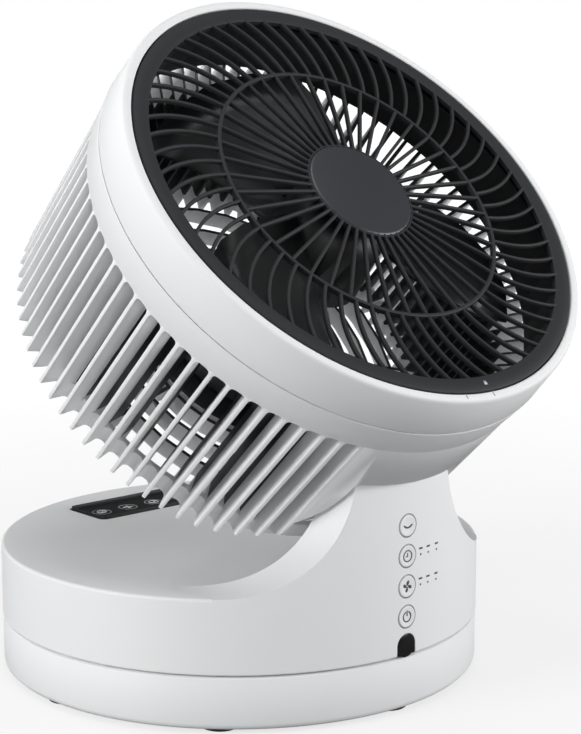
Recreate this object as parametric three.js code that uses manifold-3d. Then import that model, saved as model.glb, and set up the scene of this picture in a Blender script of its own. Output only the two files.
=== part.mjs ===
// A table air circulator: a drum-shaped head on one pillar, over a swinging base.
// Millimetres and degrees, +Z up, the front of the base faces -Y, the origin is on the floor
// under the middle of the whole. Base pieces are drawn about the swing axis. Head pieces are
// drawn in the head's own frame: the face lies at z = 0 and looks along +z, y runs up the face,
// and depth is measured back from the face.
import * as THREE from "three";
import { mergeVertices } from "three/addons/utils/BufferGeometryUtils.js";
import Module from "manifold-3d";

// base
const HEAD_OVERHANG = 26.48;
const BASE_RADIUS = 125;
const PAD_HEIGHT = 1.5;
const FOOT_TOP = 27.9;
const SWIVEL_BOTTOM = 28.7;
const BASE_TOP = 65.8;
const WALL = 3;
const GAP = 0.3;
const ROUND = 60;

// pillar
const PILLAR_HALF_WIDTH = 30.4;
const PILLAR_THICKNESS = 20;
const SCOOP_RADIUS = 59.4;
const SCOOP_CENTRE = 125.2;
const PIVOT_FORWARD = BASE_RADIUS - PILLAR_THICKNESS / 2;
const PIVOT_HEIGHT = 112.9;
const PILLAR_SOLID_FROM = 101;
const PIN_RADIUS = 3;
const KNUCKLE_RADIUS = 7.7;
const KNUCKLE_INNER = 12;
const KNUCKLE_OUTER = 18;

// head
const TILT = 44;
const PIVOT_BELOW_AXIS = 116.3;
const PIVOT_DEPTH = 80.1;
const FACE_DEPTH = 0.3;
const SEAM_DEPTH = 23.5;
const SLOT_DEPTH = 40.4;
const TAIL_DEPTH = 132;
const RIM_RADIUS = 125.7;
const SEAM_RADIUS = 126.6;
const SLOT_RADIUS = 124.9;
const TAIL_RADIUS = 122.3;
const SKIN = 2.6;
const FIN_COUNT = 80;
const CHIN_FINS = 10;
const FIN_THICKNESS = 2;
const FIN_INNER_RADIUS = 101;
const CHIN_BOTTOM = 119.4;
const TAIL_ROUNDING = 35;
const POCKET_RADIUS = 11.5;
const POCKET_HALF_WIDTH = 34.3;
const POCKET_FLARE = 47.4;
const POCKET_WALL = 2.2;

// grille
const GRILLE_RADIUS = 119.9;
const GRILLE_OPENING = 112;
const MIDDLE_RING_RADIUS = 75.6;
const HUB_DISC_RADIUS = 27.8;
const OUTER_RIBS = 60;
const INNER_RIBS = 45;
const RIB_WIDTH = 1.8;
const OUTER_RIB_SWEEP = 7.9;
const OUTER_RIB_PHASE = 1;
const INNER_RIB_PHASE = 0.75;
const RING_WIDTH = 1.8;
const RIB_FRONT = 0.6;
const RIB_BACK = 3.4;

// rear rings, motor, impeller
const TAIL_RING_RADIUS = 112;
const RING_DEPTH = 121.5;
const REAR_SPOKES = 10;
const COVER_RADIUS = 61.7;
const MOTOR_RADIUS = 34;
const SHAFT_RADIUS = 4;
const BLADE_COUNT = 3;
const BLADE_TIP = 98;
const HUB_RADIUS = 30;

// controls
const BUTTON_RADIUS = 5.6;
const BUTTON_SPACING = 15.05;
const LOWEST_BUTTON = 48.1;
const REMOTE_HALF_LENGTH = 39.2;
const REMOTE_FRONT = 68.8;
const REMOTE_BACK = 102.1;
const REMOTE_BOTTOM = 58.6;

// swing drive
const POST_RADIUS = 20;
const SUN_TEETH = 24;
const PINION_TEETH = 8;
const MODULE = 2.5;
const DRIVE_DISTANCE = 40.4;
const GEAR_BOTTOM = 12;
const GEAR_TOP = 21;
const PLATE_BOTTOM = 29.2;
const PLATE_TOP = 31.7;

const rad = THREE.MathUtils.degToRad;
const AXIS = new THREE.Vector3(0, 0, 1);
const wasm = await Module();
wasm.setup();

// ---- solids ----------------------------------------------------------------

// A closed geometry as a solid that faces out.
function solidOf(geometry) {
  const loose = geometry.index ? geometry.toNonIndexed() : geometry;
  const bare = new THREE.BufferGeometry();
  bare.setAttribute("position", loose.getAttribute("position"));
  const merged = mergeVertices(bare, 1e-4);
  const index = merged.index.array;
  const faces = [];
  for (let i = 0; i < index.length; i += 3) {
    const [a, b, c] = index.slice(i, i + 3);
    if (a !== b && b !== c && c !== a) faces.push([a, b, c]);
  }
  const build = (triangles) => new wasm.Manifold(new wasm.Mesh({
    numProp: 3,
    vertProperties: merged.attributes.position.array,
    triVerts: new Uint32Array(triangles.flat()),
  }));
  const solid = build(faces);
  return solid.volume() > 0 ? solid : build(faces.map(([a, b, c]) => [a, c, b]));
}

function geometryOf(solid) {
  const mesh = solid.getMesh();
  const geometry = new THREE.BufferGeometry();
  geometry.setAttribute("position", new THREE.BufferAttribute(mesh.vertProperties, 3));
  geometry.setIndex(new THREE.BufferAttribute(mesh.triVerts, 1));
  const flat = geometry.toNonIndexed();
  flat.computeVertexNormals();
  return flat;
}

// A closed [radius, height] profile turned about the z axis.
function turned(profile, segments, phase = 0) {
  const points = [...profile, profile[0]].map(([r, z]) => new THREE.Vector2(r, z));
  const geometry = new THREE.LatheGeometry(points, segments, rad(phase));
  return solidOf(geometry.rotateX(Math.PI / 2));
}

// A head profile given as [radius, depth].
function turnedHead(profile, segments, phase = 0) {
  return turned(profile.map(([r, depth]) => [r, -depth]), segments, phase);
}

// An outline in x and y, raised from z0 to z1.
function raised(shape, z0, z1, segments = 12) {
  const options = { depth: z1 - z0, bevelEnabled: false, curveSegments: segments };
  return new THREE.ExtrudeGeometry(shape, options).translate(0, 0, z0);
}

// An outline in x and z, drawn along y from y0 to y1.
function alongY(shape, y0, y1, segments = 12) {
  return solidOf(raised(shape, -y1, -y0, segments).rotateX(Math.PI / 2));
}

// An outline in y and z, drawn along x from x0 to x1.
function alongX(shape, x0, x1, segments = 12) {
  const turn = new THREE.Matrix4().makeBasis(
    new THREE.Vector3(0, 1, 0), new THREE.Vector3(0, 0, 1), new THREE.Vector3(1, 0, 0));
  return solidOf(raised(shape, x0, x1, segments).applyMatrix4(turn));
}

function block(x0, x1, y0, y1, z0, z1) {
  const geometry = new THREE.BoxGeometry(x1 - x0, y1 - y0, z1 - z0);
  return solidOf(geometry.translate((x0 + x1) / 2, (y0 + y1) / 2, (z0 + z1) / 2));
}

// A round bar from one point to another.
function bar(radius, from, to, segments = 16) {
  const start = new THREE.Vector3(...from);
  const end = new THREE.Vector3(...to);
  const way = end.clone().sub(start);
  const geometry = new THREE.CylinderGeometry(radius, radius, way.length(), segments);
  const turn = new THREE.Quaternion().setFromUnitVectors(
    new THREE.Vector3(0, 1, 0), way.clone().normalize());
  geometry.applyQuaternion(turn);
  const middle = start.add(end).multiplyScalar(0.5);
  return solidOf(geometry.translate(middle.x, middle.y, middle.z));
}

// A skin over sections that all have the same number of points, closed at both ends.
function lofted(sections) {
  const size = sections[0].length;
  const points = sections.flat();
  const index = [];
  for (let s = 0; s + 1 < sections.length; s++) {
    for (let i = 0; i < size; i++) {
      const a = s * size + i;
      const b = s * size + (i + 1) % size;
      index.push(a, b, b + size, a, b + size, a + size);
    }
  }
  const last = (sections.length - 1) * size;
  for (let i = 1; i + 1 < size; i++) {
    index.push(0, i + 1, i);
    index.push(last, last + i, last + i + 1);
  }
  const geometry = new THREE.BufferGeometry().setFromPoints(points);
  geometry.setIndex(index);
  return solidOf(geometry);
}

function joined(solids) {
  return solids.reduce((sum, solid) => sum.add(solid));
}

function shapeOf(points) {
  return new THREE.Shape(points.map(([x, y]) => new THREE.Vector2(x, y)));
}

function roundedBox(x0, x1, y0, y1, radius) {
  const shape = new THREE.Shape();
  shape.moveTo(x0 + radius, y0);
  shape.lineTo(x1 - radius, y0);
  shape.absarc(x1 - radius, y0 + radius, radius, -Math.PI / 2, 0);
  shape.lineTo(x1, y1 - radius);
  shape.absarc(x1 - radius, y1 - radius, radius, 0, Math.PI / 2);
  shape.lineTo(x0 + radius, y1);
  shape.absarc(x0 + radius, y1 - radius, radius, Math.PI / 2, Math.PI);
  shape.lineTo(x0, y0 + radius);
  shape.absarc(x0 + radius, y0 + radius, radius, Math.PI, Math.PI * 1.5);
  return shape;
}

function circlePoints(radius, count, phase = 0) {
  return Array.from({ length: count }, (_, i) => {
    const angle = rad(phase + i * 360 / count);
    return [radius * Math.cos(angle), radius * Math.sin(angle)];
  });
}

function disc(radius) {
  return new THREE.Shape().absarc(0, 0, radius, 0, Math.PI * 2);
}

// ---- materials and scene graph ---------------------------------------------

function finish(color, roughness, metalness = 0) {
  return new THREE.MeshStandardMaterial({ color, roughness, metalness });
}

const whitePlastic = finish(0xe9eaeb, 0.45);
const darkPlastic = finish(0x3b3d40, 0.5);
const blackPlastic = finish(0x111214, 0.55);
const rubber = finish(0x2c2d2f, 0.9);
const steel = finish(0xb9bdc2, 0.3, 1);
const nylon = finish(0xd9d5c8, 0.6);
const circuitBoard = finish(0x1f5c3a, 0.6);
const tintedWindow = finish(0x0b0a0d, 0.15);

const fan = new THREE.Group();
fan.position.y = HEAD_OVERHANG;
const tilting = new THREE.Group();
tilting.position.set(0, -PIVOT_FORWARD, PIVOT_HEIGHT);
tilting.rotation.x = rad(90 - TILT);
const head = new THREE.Group();
head.position.set(0, PIVOT_BELOW_AXIS, PIVOT_DEPTH);
tilting.add(head);
fan.add(tilting);

function place(group, name, solid, material) {
  const mesh = new THREE.Mesh(geometryOf(solid), material);
  mesh.name = name;
  group.add(mesh);
}

// ---- foot ------------------------------------------------------------------

const FOOT_BOTTOM = PAD_HEIGHT;
const FOOT_FLOOR = FOOT_BOTTOM + WALL;
const CABLE_BORE = 8.5;

function footShell() {
  const rim = BASE_RADIUS - 0.2;
  const tray = turned([
    [CABLE_BORE, FOOT_BOTTOM], [rim - 3, FOOT_BOTTOM], [rim, FOOT_FLOOR], [rim, FOOT_TOP],
    [rim - WALL, FOOT_TOP], [rim - WALL, FOOT_FLOOR], [CABLE_BORE, FOOT_FLOOR],
  ], ROUND);
  const post = turned([
    [CABLE_BORE, FOOT_BOTTOM], [POST_RADIUS, FOOT_BOTTOM],
    [POST_RADIUS, PLATE_TOP + GAP], [CABLE_BORE, PLATE_TOP + GAP],
  ], 20);
  const glides = [];
  for (let i = 0; i < 6; i++) {
    const glide = block(86, 94, -5, 5, FOOT_FLOOR - 1, PLATE_BOTTOM - GAP);
    glides.push(glide.rotate([0, 0, 30 + i * 60]));
  }
  const inletWindow = block(-6.4, 6.4, BASE_RADIUS - 8, BASE_RADIUS + 2, 9.7, 19.3);
  return joined([tray, post, ...glides]).subtract(inletWindow);
}

function footPad(angle) {
  const pad = solidOf(raised(disc(9.5), 0, PAD_HEIGHT - GAP, 6));
  return pad.translate(112 * Math.sin(rad(angle)), -112 * Math.cos(rad(angle)), 0);
}

function powerInlet() {
  const body = block(-6.1, 6.1, BASE_RADIUS - 13, BASE_RADIUS - 1.2, 10, 19);
  const bore = bar(2.9, [0, BASE_RADIUS - 9, 14.5], [0, BASE_RADIUS + 1, 14.5]);
  const contact = bar(0.9, [0, BASE_RADIUS - 10, 14.5], [0, BASE_RADIUS - 2.4, 14.5], 8);
  return body.subtract(bore).add(contact);
}

// A spur gear outline with four points to a tooth.
function gearShape(teeth, phase, bore) {
  const pitch = MODULE * teeth / 2;
  const points = [];
  for (let i = 0; i < teeth; i++) {
    const middle = phase + i * 360 / teeth;
    const step = 360 / teeth;
    points.push([pitch - 1.25 * MODULE, middle - step * 0.32], [pitch + 0.8 * MODULE, middle - step * 0.12]);
    points.push([pitch + 0.8 * MODULE, middle + step * 0.12], [pitch - 1.25 * MODULE, middle + step * 0.32]);
  }
  const shape = shapeOf(points.map(([r, a]) => [r * Math.cos(rad(a)), r * Math.sin(rad(a))]));
  shape.holes.push(disc(bore));
  return shape;
}

function sunGear() {
  const phase = 90 + 180 / SUN_TEETH;
  return solidOf(raised(gearShape(SUN_TEETH, phase, POST_RADIUS + GAP), GEAR_BOTTOM, GEAR_TOP, 10));
}

function swingPinion() {
  const gear = solidOf(raised(gearShape(PINION_TEETH, -90, 1.5), GEAR_BOTTOM, GEAR_TOP, 4));
  const shaft = bar(2.5, [0, 0, GEAR_BOTTOM], [0, 0, PLATE_TOP + 3], 10);
  return gear.add(shaft).translate(0, DRIVE_DISTANCE, 0);
}

// ---- swivel ----------------------------------------------------------------

// The scooped outline of the pillar in x and z, drawn in by a skin where inset is set.
function pillarOutline(inset, top) {
  const side = PILLAR_HALF_WIDTH + SCOOP_RADIUS;
  const radius = SCOOP_RADIUS + inset;
  const start = Math.asin(inset / radius);
  const bottom = BASE_TOP - WALL - 1;
  const shape = new THREE.Shape();
  shape.moveTo(radius * Math.sin(start) - side, bottom);
  shape.absarc(-side, SCOOP_CENTRE, radius, start - Math.PI / 2, 0);
  shape.lineTo(radius - side, top);
  shape.lineTo(side - radius, top);
  shape.absarc(side, SCOOP_CENTRE, radius, Math.PI, Math.PI * 1.5 - start);
  shape.lineTo(side - radius * Math.sin(start), bottom);
  return shape;
}

// The pillar stands up from the drum's rim as a curved wall, round over the top about the pivot.
function pillarWall() {
  const inner = BASE_RADIUS - PILLAR_THICKNESS;
  const ring = turned([[inner, 50], [BASE_RADIUS, 50], [BASE_RADIUS, 140], [inner, 140]], ROUND);
  const side = new THREE.Shape();
  side.moveTo(-40, 50);
  side.lineTo(-40, PIVOT_HEIGHT - 22);
  side.lineTo(PILLAR_THICKNESS / 2 - PIVOT_FORWARD, PIVOT_HEIGHT);
  side.absarc(-PIVOT_FORWARD, PIVOT_HEIGHT, PILLAR_THICKNESS / 2, 0, Math.PI);
  side.lineTo(-BASE_RADIUS, 50);
  return alongY(pillarOutline(0, SCOOP_CENTRE + 5), -BASE_RADIUS - 3, -20, 8)
    .intersect(ring).intersect(alongX(side, -100, 100, 6));
}

function pillarHollow() {
  const inner = BASE_RADIUS - PILLAR_THICKNESS + WALL;
  const outer = BASE_RADIUS - WALL;
  const ring = turned([
    [inner, 50], [outer, 50], [outer, PILLAR_SOLID_FROM], [inner, PILLAR_SOLID_FROM],
  ], ROUND);
  return alongY(pillarOutline(WALL, SCOOP_CENTRE), -BASE_RADIUS, -20, 8).intersect(ring);
}

// What the pillar's solid top gives up to the hinge: the pin's bore, and two notches that hold
// the head's knuckles and stay open above and behind for their arms.
function hingeCut() {
  const reach = KNUCKLE_RADIUS + 0.7;
  const shape = new THREE.Shape();
  shape.moveTo(-PIVOT_FORWARD, PIVOT_HEIGHT - reach);
  shape.lineTo(-PIVOT_FORWARD + 20, PIVOT_HEIGHT - reach);
  shape.lineTo(-PIVOT_FORWARD + 20, PIVOT_HEIGHT + 20);
  shape.lineTo(-PIVOT_FORWARD - reach, PIVOT_HEIGHT + 20);
  shape.lineTo(-PIVOT_FORWARD - reach, PIVOT_HEIGHT);
  shape.absarc(-PIVOT_FORWARD, PIVOT_HEIGHT, reach, Math.PI, Math.PI * 1.5);
  const notches = [-1, 1].map((side) => alongX(
    shape, Math.min(side * (KNUCKLE_INNER - 0.5), side * (KNUCKLE_OUTER + 1.3)),
    Math.max(side * (KNUCKLE_INNER - 0.5), side * (KNUCKLE_OUTER + 1.3)), 5));
  return joined([...notches, pivotBar(PIN_RADIUS + GAP / 2, -27, 27, 12)]);
}

// A round bar on the tilt axis, from x0 to x1.
function pivotBar(radius, x0, x1, segments = 16) {
  return bar(radius, [x0, -PIVOT_FORWARD, PIVOT_HEIGHT], [x1, -PIVOT_FORWARD, PIVOT_HEIGHT], segments);
}

function receiverArch(grow) {
  const half = 6.2 + grow;
  const shape = new THREE.Shape();
  shape.moveTo(-half, SWIVEL_BOTTOM - 1);
  shape.lineTo(half, SWIVEL_BOTTOM - 1);
  shape.lineTo(half, 33.6);
  shape.absarc(0, 33.6, half, 0, Math.PI);
  return shape;
}

function buttonHeight(row) {
  return LOWEST_BUTTON + row * BUTTON_SPACING;
}

function baseHousing() {
  const drum = turned([
    [0, SWIVEL_BOTTOM], [BASE_RADIUS, SWIVEL_BOTTOM],
    [BASE_RADIUS, BASE_TOP - 1.2], [BASE_RADIUS - 1.2, BASE_TOP], [0, BASE_TOP],
  ], ROUND);
  const hollow = turned([
    [0, SWIVEL_BOTTOM - 5], [BASE_RADIUS - WALL, SWIVEL_BOTTOM - 5],
    [BASE_RADIUS - WALL, BASE_TOP - WALL], [0, BASE_TOP - WALL],
  ], ROUND);
  const tray = solidOf(raised(roundedBox(-42, 42, 66, 105, 6), 55.6, BASE_TOP - 1, 3));
  const recess = solidOf(raised(
    roundedBox(-39.6, 39.6, REMOTE_FRONT - 0.4, REMOTE_BACK + 0.4, 4), REMOTE_BOTTOM - GAP, 80, 4));
  const openings = [alongY(receiverArch(0), -140, -118, 5)];
  for (let row = 0; row < 4; row++) {
    const z = buttonHeight(row);
    openings.push(bar(BUTTON_RADIUS + GAP, [0, -140, z], [0, -118, z], 18));
  }
  const posts = [-1, 1].map((side) => bar(2.5, [side * 13, -122.5, 70], [side * 13, -116.4, 70], 8));
  const shell = drum.subtract(hollow).add(pillarWall()).subtract(pillarHollow());
  return joined([shell, tray, ...posts]).subtract(joined([recess, hingeCut(), ...openings]));
}

function turntablePlate() {
  const plate = turned([
    [POST_RADIUS + 0.6, 24], [POST_RADIUS + 3.6, 24], [POST_RADIUS + 3.6, PLATE_BOTTOM],
    [BASE_RADIUS - WALL - 0.4, PLATE_BOTTOM], [BASE_RADIUS - WALL - 0.4, PLATE_TOP],
    [POST_RADIUS + 0.6, PLATE_TOP],
  ], 30);
  const shaftHole = bar(2.9, [0, DRIVE_DISTANCE, 20], [0, DRIVE_DISTANCE, 40]);
  const posts = [];
  for (const x of [-62, -32]) {
    for (const y of [-28, 28]) posts.push(bar(3, [x, y, PLATE_TOP - 1], [x, y, 37], 6));
  }
  return joined([plate, ...posts]).subtract(shaftHole);
}

function keeperRing() {
  return turned([
    [CABLE_BORE, PLATE_TOP + 0.6], [POST_RADIUS + 7, PLATE_TOP + 0.6],
    [POST_RADIUS + 7, PLATE_TOP + 2.8], [CABLE_BORE, PLATE_TOP + 2.8],
  ], 16);
}

function swingMotor() {
  const can = bar(12.8, [0, DRIVE_DISTANCE, PLATE_TOP + GAP], [0, DRIVE_DISTANCE, PLATE_TOP + 15], 20);
  const ears = block(-19, 19, DRIVE_DISTANCE - 4, DRIVE_DISTANCE + 4, PLATE_TOP + GAP, PLATE_TOP + 2);
  const bore = bar(2.8, [0, DRIVE_DISTANCE, PLATE_TOP], [0, DRIVE_DISTANCE, PLATE_TOP + 4], 10);
  return can.add(ears).subtract(bore);
}

function mainBoard() {
  const board = block(-67, -27, -34, 34, 37.3, 38.9);
  const parts = [
    block(-60, -46, -26, -12, 38.5, 46), block(-42, -32, -24, -16, 38.5, 43),
    bar(5, [-55, 8, 38.5], [-55, 8, 52], 10), bar(5, [-55, 22, 38.5], [-55, 22, 52], 10),
    block(-42, -30, 6, 26, 38.5, 44),
  ];
  return joined([board, ...parts]);
}

function buttonBoard() {
  const board = block(-17, 17, -116.1, -114.5, 42, 96.6);
  const switches = [];
  for (let row = 0; row < 4; row++) {
    const z = buttonHeight(row);
    switches.push(block(-3, 3, -117, -115.5, z - 3, z + 3));
  }
  return joined([board, ...switches]);
}

function pushButton() {
  const cap = bar(BUTTON_RADIUS, [0, -BASE_RADIUS - 0.3, 0], [0, -BASE_RADIUS + 4, 0], 18);
  const flange = bar(BUTTON_RADIUS + 1, [0, -121.6, 0], [0, -120.4, 0], 12);
  const stem = bar(1.8, [0, -121, 0], [0, -118, 0], 6);
  return joined([cap, flange, stem]);
}

function receiverWindow() {
  const plate = alongY(receiverArch(-GAP), -124.7, -122.2, 5);
  return plate.intersect(block(-20, 20, -130, -100, SWIVEL_BOTTOM + 0.3, 60));
}

function lightGuide(z) {
  return block(7, 24, -119.2, -116.4, z - 3, z + 2);
}

function hingePin() {
  return pivotBar(PIN_RADIUS, -26, 26, 12);
}

function frictionWasher(side) {
  const inner = side * (KNUCKLE_OUTER + 0.2);
  const outer = side * (KNUCKLE_OUTER + 1.1);
  const washer = pivotBar(7, Math.min(inner, outer), Math.max(inner, outer), 16);
  return washer.subtract(pivotBar(PIN_RADIUS + GAP, -30, 30, 10));
}

// ---- remote ----------------------------------------------------------------

function remoteShell() {
  const x = REMOTE_HALF_LENGTH;
  return solidOf(raised(roundedBox(-x, x, REMOTE_FRONT, REMOTE_BACK, 3.6), REMOTE_BOTTOM, 64.4, 3));
}

function remoteKeypad() {
  const x = REMOTE_HALF_LENGTH - 0.8;
  const sheet = roundedBox(-x, x, REMOTE_FRONT + 0.8, REMOTE_BACK - 0.8, 3);
  return solidOf(raised(sheet, 64.7, 65.4, 3));
}

// ---- head ------------------------------------------------------------------

const FACET = 360 / FIN_COUNT;

function frontRing() {
  const seat = GRILLE_RADIUS + 0.7;
  return turnedHead([
    [seat, FACE_DEPTH], [RIM_RADIUS - 1.4, FACE_DEPTH], [RIM_RADIUS, 1.7],
    [SEAM_RADIUS, SEAM_DEPTH - GAP], [SEAM_RADIUS - SKIN, SEAM_DEPTH - GAP],
    [SEAM_RADIUS - SKIN, 9.8], [seat - 5, 9.8], [seat - 5, 7.4], [seat, 7.4],
  ], ROUND);
}

// What the head's underside keeps clear of where it rounds up into the tail. Grown by a skin,
// it leaves the wall over that form.
function undersideCutter(grow) {
  const centre = TAIL_ROUNDING - CHIN_BOTTOM;
  const back = -TAIL_DEPTH - 8;
  const shape = new THREE.Shape();
  shape.moveTo(grow - CHIN_BOTTOM, TAIL_ROUNDING - TAIL_DEPTH);
  shape.absarc(centre, TAIL_ROUNDING - TAIL_DEPTH, TAIL_ROUNDING - grow, Math.PI, Math.PI * 1.5);
  shape.lineTo(centre, back);
  shape.lineTo(-140, back);
  shape.lineTo(-140, TAIL_ROUNDING - TAIL_DEPTH);
  return alongX(shape, -140, 140, 6);
}

// The space that the pillar sweeps inside the chin, grown by a wall where asked: round about the
// pivot in front, then straight back, and flared outwards as the pillar's own scoop is.
function pocketSpace(grow) {
  const radius = POCKET_RADIUS + grow;
  const side = new THREE.Shape();
  side.moveTo(-140, radius - PIVOT_DEPTH);
  side.lineTo(-PIVOT_BELOW_AXIS, radius - PIVOT_DEPTH);
  side.absarc(-PIVOT_BELOW_AXIS, -PIVOT_DEPTH, radius, Math.PI / 2, 0, true);
  side.lineTo(radius - PIVOT_BELOW_AXIS, -TAIL_DEPTH - 8);
  side.lineTo(-140, -TAIL_DEPTH - 8);
  const half = POCKET_HALF_WIDTH + grow;
  const corner = 4 + grow;
  const front = radius - PIVOT_DEPTH;
  const flareFrom = front - corner - 2;
  const flareTo = 0.72;
  const wide = half + POCKET_FLARE * (1 - Math.cos(flareTo));
  const plan = new THREE.Shape();
  plan.moveTo(-wide, -TAIL_DEPTH - 8);
  plan.lineTo(wide, -TAIL_DEPTH - 8);
  plan.absarc(half + POCKET_FLARE, flareFrom, POCKET_FLARE, Math.PI + flareTo, Math.PI, true);
  plan.absarc(half - corner, front - corner, corner, 0, Math.PI / 2);
  plan.absarc(corner - half, front - corner, corner, Math.PI / 2, Math.PI);
  plan.absarc(-half - POCKET_FLARE, flareFrom, POCKET_FLARE, 0, -flareTo, true);
  const flared = alongY(plan, -140, 0, 5);
  return flared.intersect(alongX(side, -60, 60, 6));
}

// The finned wall of the drum, all round but for the chin. Each fin is a plate that lies along
// a radius, swept between its two side planes with the band in front of it and the tail ring
// as one outline; from fin to fin only the band and the ring run on.
function finnedWall() {
  const band = [
    [SEAM_RADIUS, SEAM_DEPTH + GAP], [SLOT_RADIUS, SLOT_DEPTH],
    [SLOT_RADIUS - SKIN, SLOT_DEPTH], [SEAM_RADIUS - SKIN, SEAM_DEPTH + GAP],
  ];
  const ring = [
    [TAIL_RING_RADIUS, RING_DEPTH], [TAIL_RING_RADIUS, TAIL_DEPTH],
    [TAIL_RING_RADIUS - 2.5, TAIL_DEPTH], [TAIL_RING_RADIUS - 2.5, RING_DEPTH],
  ];
  const tip = [TAIL_RADIUS, TAIL_DEPTH];
  const root = [[FIN_INNER_RADIUS, TAIL_DEPTH], [FIN_INNER_RADIUS, 60]];
  const whole = [band[0], band[1], tip, ring[1], ring[2], ...root, band[2], band[3]];
  const web = [band[1], tip, ring[1], ring[0], ring[3], ring[2], ...root, band[2]];
  const points = [];
  const corner = ([radius, depth], fin, side) => new THREE.Vector3(
    radius, side * FIN_THICKNESS / 2, -depth).applyAxisAngle(AXIS, rad(fin * FACET - 90));
  const sweep = (outline, from, to) => outline.forEach((p, i) => {
    const q = outline[(i + 1) % outline.length];
    points.push(corner(p, ...from), corner(q, ...from), corner(q, ...to));
    points.push(corner(p, ...from), corner(q, ...to), corner(p, ...to));
  });
  const face = (outline, fin, side) => {
    const flat = outline.map(([radius, depth]) => new THREE.Vector2(radius, -depth));
    for (const triangle of THREE.ShapeUtils.triangulateShape(flat, [])) {
      const corners = triangle.map((i) => corner(outline[i], fin, side));
      points.push(...(side > 0 ? corners.reverse() : corners));
    }
  };
  const first = CHIN_FINS / 2;
  const last = FIN_COUNT - CHIN_FINS / 2;
  for (let fin = first; fin <= last; fin++) {
    sweep(whole, [fin, -1], [fin, 1]);
    face(web, fin, -1);
    face(web, fin, 1);
    if (fin === last) break;
    sweep(band, [fin, 1], [fin + 1, -1]);
    sweep(ring, [fin, 1], [fin + 1, -1]);
  }
  for (const outline of [band, ring]) {
    face(outline, first, -1);
    face(outline, last, 1);
  }
  return solidOf(new THREE.BufferGeometry().setFromPoints(points));
}

// The smooth chin that closes the drum below, hollow over its own underside.
function chin() {
  const drum = (inset) => turnedHead([
    [0, SEAM_DEPTH + GAP - inset], [SEAM_RADIUS - inset, SEAM_DEPTH + GAP - inset],
    [SLOT_RADIUS - inset, SLOT_DEPTH], [TAIL_RADIUS - inset, TAIL_DEPTH + inset], [0, TAIL_DEPTH + inset],
  ], FIN_COUNT);
  const half = 140 * Math.tan(rad(CHIN_FINS / 2 * FACET));
  const sector = solidOf(raised(shapeOf([[0, 0], [-half, -140], [half, -140]]), -150, 0));
  const inside = drum(SKIN).subtract(undersideCutter(SKIN));
  return drum(0).intersect(sector).subtract(inside);
}

// One of the head's two hinge knuckles, hung from the pocket's roof round the pin.
function hingeKnuckle(side) {
  const x0 = Math.min(side * KNUCKLE_INNER, side * KNUCKLE_OUTER);
  const eye = bar(KNUCKLE_RADIUS, [x0, -PIVOT_BELOW_AXIS, -PIVOT_DEPTH],
    [x0 + KNUCKLE_OUTER - KNUCKLE_INNER, -PIVOT_BELOW_AXIS, -PIVOT_DEPTH], 16);
  const arm = block(x0, x0 + KNUCKLE_OUTER - KNUCKLE_INNER, -PIVOT_BELOW_AXIS,
    1 + POCKET_RADIUS - PIVOT_BELOW_AXIS, -PIVOT_DEPTH - 5, -PIVOT_DEPTH + 5);
  const bore = bar(PIN_RADIUS + GAP / 2, [-30, -PIVOT_BELOW_AXIS, -PIVOT_DEPTH],
    [30, -PIVOT_BELOW_AXIS, -PIVOT_DEPTH], 12);
  return eye.add(arm).subtract(bore);
}

function rearHousing() {
  const drum = turnedHead([
    [0, SLOT_DEPTH - 1], [SLOT_RADIUS - 1, SLOT_DEPTH - 1], [TAIL_RADIUS - 1, TAIL_DEPTH], [0, TAIL_DEPTH],
  ], FIN_COUNT / 2);
  const pocketWalls = pocketSpace(POCKET_WALL).intersect(drum);
  return joined([finnedWall(), chin(), pocketWalls])
    .subtract(undersideCutter(0)).subtract(pocketSpace(0))
    .add(hingeKnuckle(-1)).add(hingeKnuckle(1));
}

// The opening between two neighbouring spokes and two neighbouring rings, or the same bay
// left open at the rim where no outer radius is given.
function bayPoints(inner, outer, middle, pitch, half) {
  const edge = (radius, side) => middle + side * (pitch / 2 - Math.asin(half / radius) * 180 / Math.PI);
  const arc = (radius, side) => [-1, -1 / 3, 1 / 3, 1].map((share) => {
    const angle = rad(middle + share * side * (edge(radius, 1) - middle));
    return [radius * Math.cos(angle), radius * Math.sin(angle)];
  });
  return [...arc(inner, 1), ...arc(outer, -1)];
}

function rearGrille() {
  const rim = FIN_INNER_RADIUS - GAP;
  const plate = shapeOf(circlePoints(rim, REAR_SPOKES * 3, 180 / REAR_SPOKES));
  plate.holes.push(shapeOf(circlePoints(COVER_RADIUS + 0.4, REAR_SPOKES * 3, 180 / REAR_SPOKES)));
  const radii = [[COVER_RADIUS + 2.6, 76], [78, 91], [93, rim + 4]];
  const bays = [];
  for (let i = 0; i < REAR_SPOKES; i++) {
    for (const [inner, outer] of radii) {
      const bay = bayPoints(inner, outer, i * 360 / REAR_SPOKES, 360 / REAR_SPOKES, 1);
      if (outer < rim) plate.holes.push(shapeOf(bay));
      else bays.push(solidOf(raised(shapeOf(bay), -TAIL_DEPTH - 1, -RING_DEPTH)));
    }
  }
  return solidOf(raised(plate, 0.5 - TAIL_DEPTH, -RING_DEPTH - 0.5))
    .subtract(joined([...bays, undersideCutter(SKIN + GAP)]));
}

function airDuct() {
  return turnedHead([
    [117, 10.2], [119.5, 10.2], [120.6, SLOT_DEPTH - 1], [118.6, SLOT_DEPTH - 1],
  ], 45);
}

function motorCover() {
  return turnedHead([
    [0, TAIL_DEPTH - 1.5], [COVER_RADIUS - 2.2, TAIL_DEPTH - 1.5], [COVER_RADIUS - 2.2, RING_DEPTH - 2],
    [COVER_RADIUS, RING_DEPTH - 2], [COVER_RADIUS, TAIL_DEPTH - 1], [COVER_RADIUS - 2.5, TAIL_DEPTH + 1.2],
    [0, TAIL_DEPTH + 1.2],
  ], 30);
}

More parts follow.
